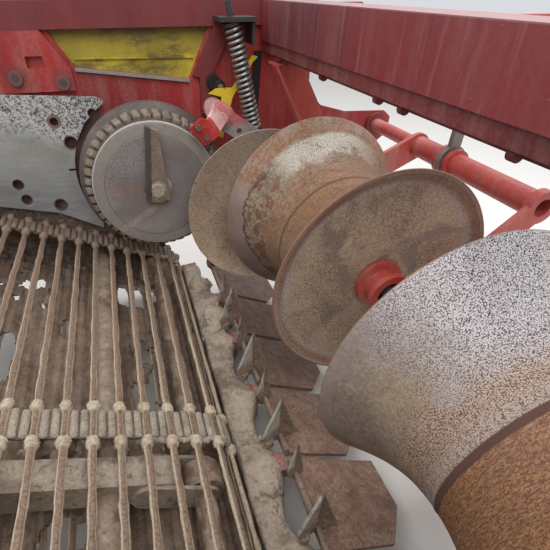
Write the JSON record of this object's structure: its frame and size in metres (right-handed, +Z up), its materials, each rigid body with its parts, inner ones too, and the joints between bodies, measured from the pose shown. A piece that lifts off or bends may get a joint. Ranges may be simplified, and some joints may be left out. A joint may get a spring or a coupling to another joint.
{
  "type": "potato digger lifting unit",
  "caption": "Lifting unit of a two-row potato digger: rod web between side frames, share plates, waisted row rollers, disc coulters and haulm rollers.",
  "frame": {"origin": "on the axis of the rear pivot, midway between the side frames", "axes": "+X forwards in the direction of travel, +Y to the machine's left along the rear pivot, +Z up"},
  "size_m": [1.896, 1.772, 0.8833],
  "materials": {
    "red_paint": "worn red paint with dust and mud",
    "dark_red_paint": "faded dark red paint with dust",
    "yellow_paint": "yellow paint with dried mud",
    "galvanised": "bare galvanised steel with scratches",
    "rusty_steel": "rusty steel, worn bright in patches",
    "muddy_steel": "steel under dried mud",
    "polished_steel": "steel rubbed smooth, with brown streaks",
    "grey_steel": "dull grey steel",
    "black_steel": "black spring steel worn bright",
    "web_rubber": "rubber belts and steel rods under dried mud",
    "tread_rubber": "smooth dark rubber with soil on the lugs",
    "flap_rubber": "black rubber"
  },
  "bodies": {
    "frame": {"side_frame_left": "red_paint", "side_frame_right": "red_paint", "side_panel_left": "yellow_paint", "side_panel_right": "yellow_paint", "cheek_plate_left": "galvanised", "cheek_plate_right": "galvanised", "wall_flap_left": "flap_rubber", "wall_flap_right": "flap_rubber", "bump_stop_left": "flap_rubber", "bump_stop_right": "flap_rubber", "web_bearings": "grey_steel", "front_beam": "dark_red_paint", "beam_rail": "red_paint", "lift_lugs": "red_paint", "carrier_rail": "red_paint", "tube_hangers": "grey_steel", "cross_tubes": "red_paint", "web": "web_rubber", "web_drive_shaft": "grey_steel", "nose_rollers": "muddy_steel", "support_beam": "muddy_steel", "support_rollers": "muddy_steel", "share_beam": "muddy_steel", "share_carriers": "red_paint", "share_blades": "rusty_steel", "share_guards": "muddy_steel", "front_strut_left": "red_paint", "front_strut_right": "red_paint", "haulm_bracket_left": "red_paint", "haulm_bracket_right": "red_paint", "coulter_arm_left": "red_paint", "coulter_arm_right": "red_paint", "coulter_clamp_left": "red_paint", "coulter_clamp_right": "red_paint", "arm_guard_left": "yellow_paint", "arm_guard_right": "yellow_paint", "coulter_spring_left": "black_steel", "coulter_spring_right": "black_steel", "spring_rod_left": "grey_steel", "spring_rod_right": "grey_steel"},
    "haulm_roller_left": {"haulm_tyre_left": "tread_rubber", "haulm_face_left": "polished_steel"},
    "coulter_disc_left": {"disc_left": "rusty_steel"},
    "diabolo_carrier_left": {"carrier_left": "red_paint", "diabolo_shaft_left": "grey_steel"},
    "diabolo_roller_left": {"diabolo_left": "rusty_steel", "diabolo_hubs_left": "red_paint"},
    "haulm_roller_right": {"haulm_tyre_right": "tread_rubber", "haulm_face_right": "polished_steel"},
    "coulter_disc_right": {"disc_right": "rusty_steel"},
    "diabolo_carrier_right": {"carrier_right": "red_paint", "diabolo_shaft_right": "grey_steel"},
    "diabolo_roller_right": {"diabolo_right": "rusty_steel", "diabolo_hubs_right": "red_paint"}
  },
  "joints": [
    {"name": "haulm_roller_spin_left", "type": "hinge", "parent": "frame", "child": "haulm_roller_left", "pos_m": [0.977, 0.72, 0.035], "axis": [0, 1, 0], "continuous": true},
    {"name": "coulter_disc_spin_left", "type": "hinge", "parent": "frame", "child": "coulter_disc_left", "pos_m": [1.292, 0.66, -0.052], "axis": [0, 1, 0], "continuous": true},
    {"name": "diabolo_carrier_swing_left", "type": "hinge", "parent": "frame", "child": "diabolo_carrier_left", "pos_m": [1.76, 0.3, 0.12], "axis": [0, 1, 0], "range_deg": [-8, 12]},
    {"name": "diabolo_roller_spin_left", "type": "hinge", "parent": "diabolo_carrier_left", "child": "diabolo_roller_left", "pos_m": [1.421, 0.3375, -0.038], "axis": [0, 1, 0], "continuous": true},
    {"name": "haulm_roller_spin_right", "type": "hinge", "parent": "frame", "child": "haulm_roller_right", "pos_m": [0.977, -0.72, 0.035], "axis": [0, 1, 0], "continuous": true},
    {"name": "coulter_disc_spin_right", "type": "hinge", "parent": "frame", "child": "coulter_disc_right", "pos_m": [1.292, -0.66, -0.052], "axis": [0, 1, 0], "continuous": true},
    {"name": "diabolo_carrier_swing_right", "type": "hinge", "parent": "frame", "child": "diabolo_carrier_right", "pos_m": [1.76, -0.3, 0.12], "axis": [0, 1, 0], "range_deg": [-8, 12]},
    {"name": "diabolo_roller_spin_right", "type": "hinge", "parent": "diabolo_carrier_right", "child": "diabolo_roller_right", "pos_m": [1.421, -0.3375, -0.038], "axis": [0, 1, 0], "continuous": true}
  ]
}
